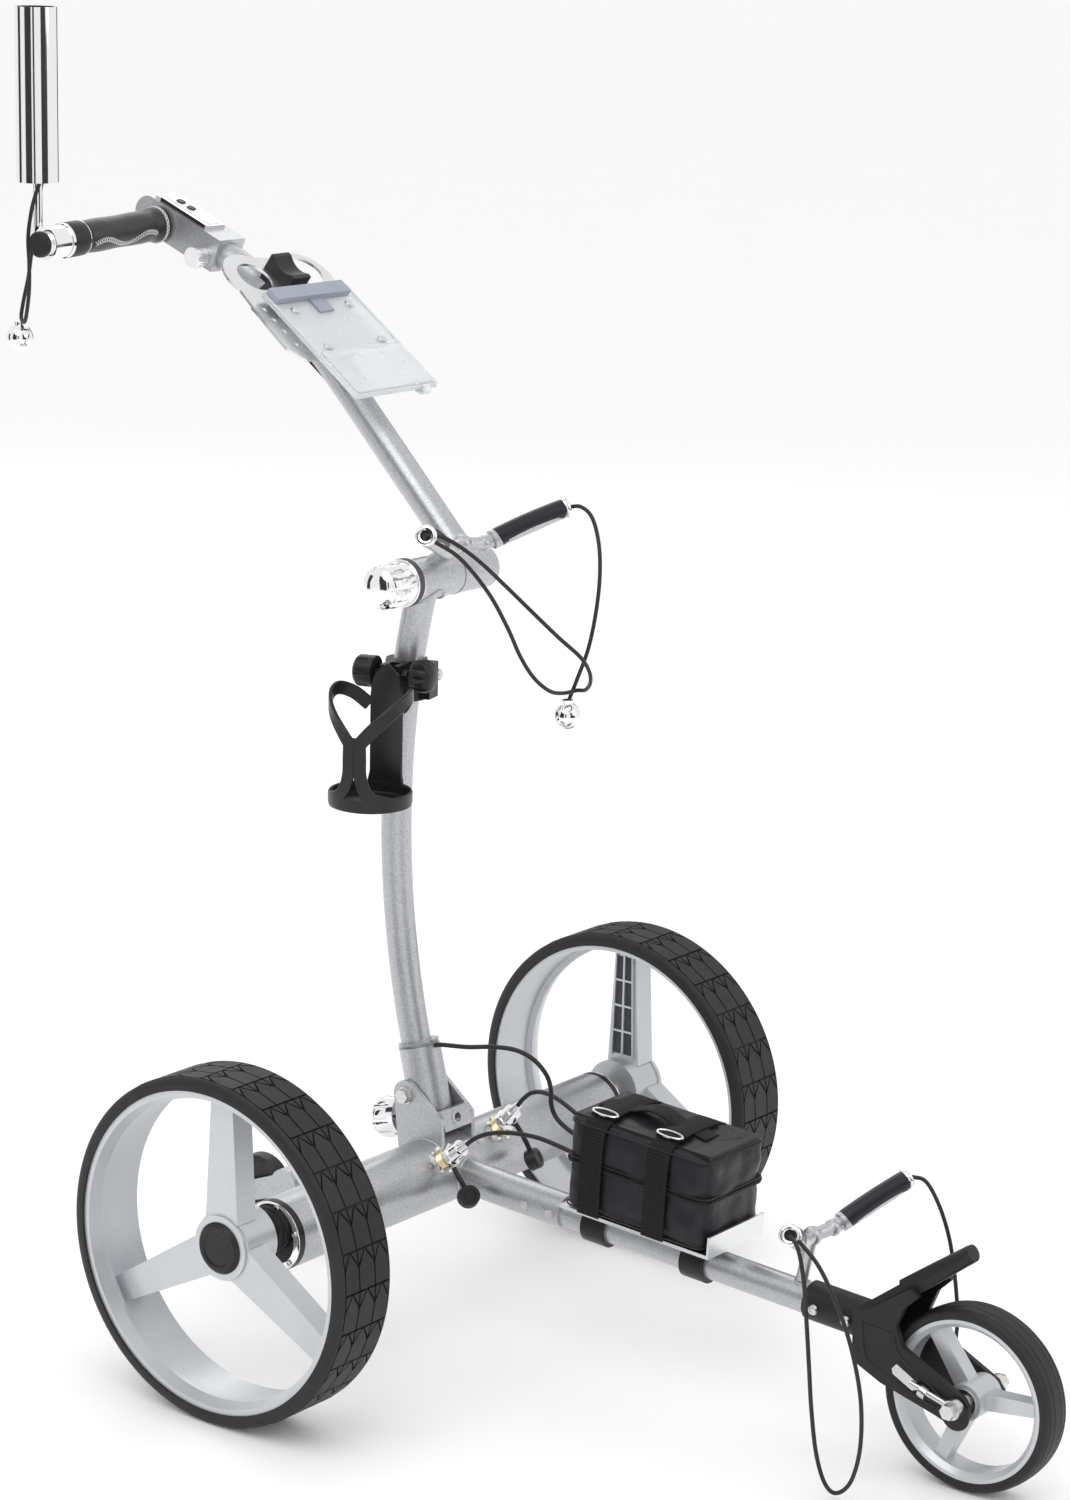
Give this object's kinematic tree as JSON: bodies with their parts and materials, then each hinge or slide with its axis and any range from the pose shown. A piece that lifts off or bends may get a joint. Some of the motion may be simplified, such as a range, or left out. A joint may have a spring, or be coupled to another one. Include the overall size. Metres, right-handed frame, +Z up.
{
  "type": "electric golf trolley",
  "caption": "Three wheeled electric golf trolley with a stem that folds in two places, a strapped battery bag, a card holder, a bottle cage and an umbrella tube.",
  "frame": {"origin": "on the ground, midway under the axle of the two drive wheels", "axes": "+X forward along the beam to the front wheel, +Y to the trolley's left along the drive axle, +Z up"},
  "size_m": [1.0315, 0.604, 1.099],
  "materials": {
    "silver_paint": "metallic silver powder coat",
    "steel": "zinc plated",
    "chrome": "mirror polished",
    "aluminium": "satin",
    "black_plastic": "moulded, matte",
    "black_paint": "matte powder coat",
    "black_rubber": "soft, matte",
    "tyre_rubber": "moulded tread",
    "silver_plastic": "silver moulded",
    "grey_plastic": "moulded",
    "clear_plastic": "clear board",
    "leather": "stitched",
    "nylon": "coated woven nylon",
    "cord_black": "braided elastic cord and cable"
  },
  "bodies": {
    "chassis": {"axle_tube": "silver_paint", "hinge_bracket": "silver_paint", "pivot_bolt": "steel", "beam_tube": "silver_paint", "frame_screws": "steel", "drive_motors": "black_plastic", "power_sockets": "chrome", "cable_plugs": "chrome", "power_cables": "cord_black", "battery_tray": "aluminium", "tray_clamps": "black_plastic", "battery_bag": "nylon", "battery_pack": "black_plastic", "lower_cradle": "silver_paint", "front_fork": "black_paint", "tracking_adjusters": "steel", "front_axle": "steel", "antitip_bar": "silver_paint", "lower_cords": "cord_black", "lower_ball": "chrome", "stem_cable": "cord_black"},
    "left_wheel": {"left_tyre": "tyre_rubber", "left_rim": "silver_plastic", "left_hub_cap": "black_plastic", "left_drive_shaft": "steel"},
    "right_wheel": {"right_tyre": "tyre_rubber", "right_rim": "silver_plastic", "right_hub_cap": "black_plastic", "right_drive_shaft": "steel"},
    "front_wheel": {"front_tyre": "tyre_rubber", "front_rim": "silver_plastic"},
    "antitip_roller": {"antitip_wheel": "black_plastic"},
    "lower_stem": {"lower_stem_tube": "silver_paint", "stem_foot": "silver_paint", "lower_barrel": "silver_paint", "upper_cradle": "silver_paint", "upper_cords": "cord_black", "upper_ball": "chrome", "bottle_clamp": "black_plastic"},
    "stem_lock_knob": {"base_knob": "chrome"},
    "joint_lock_knob": {"joint_knob": "chrome"},
    "bottle_holder": {"bottle_cage": "black_plastic"},
    "bottle_lock_knob": {"bottle_knob": "black_plastic"},
    "handle": {"upper_stem_tube": "silver_paint", "upper_barrel": "silver_paint", "controller_housing": "silver_paint", "control_panel": "chrome", "card_saddle": "black_rubber", "card_plate": "aluminium", "card_board": "clear_plastic", "grip_tube": "chrome", "leather_grip": "leather"},
    "dial": {"speed_dial": "chrome"},
    "front_push_button": {"front_button": "black_plastic"},
    "rear_push_button": {"rear_button": "black_plastic"},
    "paper_clip": {"card_clip": "grey_plastic"},
    "umbrella_holder": {"umbrella_mount": "chrome", "umbrella_tube": "chrome", "handle_cord": "cord_black", "handle_ball": "chrome"}
  },
  "joints": [
    {"name": "left_wheel_spin", "type": "hinge", "parent": "chassis", "child": "left_wheel", "pos_m": [0, 0.271, 0.145], "axis": [0, 1, 0], "continuous": true},
    {"name": "right_wheel_spin", "type": "hinge", "parent": "chassis", "child": "right_wheel", "pos_m": [0, -0.271, 0.145], "axis": [0, 1, 0], "continuous": true},
    {"name": "front_wheel_spin", "type": "hinge", "parent": "chassis", "child": "front_wheel", "pos_m": [0.535, 0, 0.075], "axis": [0, 1, 0], "continuous": true},
    {"name": "antitip_wheel_spin", "type": "hinge", "parent": "chassis", "child": "antitip_roller", "pos_m": [-0.207, 0, 0.07], "axis": [0, 1, 0], "continuous": true},
    {"name": "stem_fold", "type": "hinge", "parent": "chassis", "child": "lower_stem", "pos_m": [-0.024, 0, 0.202], "axis": [0, 1, 0], "range_deg": [0, 70], "deforming": ["stem_cable"]},
    {"name": "handle_fold", "type": "hinge", "parent": "lower_stem", "child": "handle", "pos_m": [-0.029, 0.06, 0.647], "axis": [0, 1, 0], "range_deg": [-110, 0]},
    {"name": "stem_lock_knob_turn", "type": "hinge", "parent": "lower_stem", "child": "stem_lock_knob", "pos_m": [-0.01802, 0, 0.18114], "axis": [-0.9613, 0, -0.2756], "range_deg": [0, 360]},
    {"name": "joint_lock_knob_turn", "type": "hinge", "parent": "lower_stem", "child": "joint_lock_knob", "pos_m": [-0.029, 0, 0.647], "axis": [0, -1, 0], "range_deg": [0, 360]},
    {"name": "bottle_holder_tilt", "type": "hinge", "parent": "lower_stem", "child": "bottle_holder", "pos_m": [-0.03965, -0.02692, 0.569], "axis": [0.9613, 0.2756, 0], "range_deg": [-15, 5]},
    {"name": "bottle_knob_turn", "type": "hinge", "parent": "lower_stem", "child": "bottle_lock_knob", "pos_m": [-0.03965, -0.02692, 0.569], "axis": [-0.9613, -0.2756, 0], "range_deg": [0, 360]},
    {"name": "dial_turn", "type": "hinge", "parent": "handle", "child": "dial", "pos_m": [-0.31958, 0.06, 0.88597], "axis": [0, -1, 0], "range_deg": [-150, 150]},
    {"name": "front_button_press", "type": "slide", "parent": "handle", "child": "front_push_button", "axis": [-0.3665, 0, -0.9304], "range_m": [0, 0.0012], "stiffness_N_per_m": 400},
    {"name": "rear_button_press", "type": "slide", "parent": "handle", "child": "rear_push_button", "axis": [-0.3665, 0, -0.9304], "range_m": [0, 0.0012], "stiffness_N_per_m": 400},
    {"name": "card_clip_open", "type": "hinge", "parent": "handle", "child": "paper_clip", "pos_m": [-0.21301, 0.06, 0.86804], "axis": [0, -1, 0], "range_deg": [0, 35], "stiffness_Nm_per_rad": 0.3},
    {"name": "umbrella_holder_tilt", "type": "hinge", "parent": "handle", "child": "umbrella_holder", "pos_m": [-0.37022, -0.08732, 0.90336], "axis": [0, -0.9986, -0.0523], "range_deg": [-30, 30]}
  ]
}
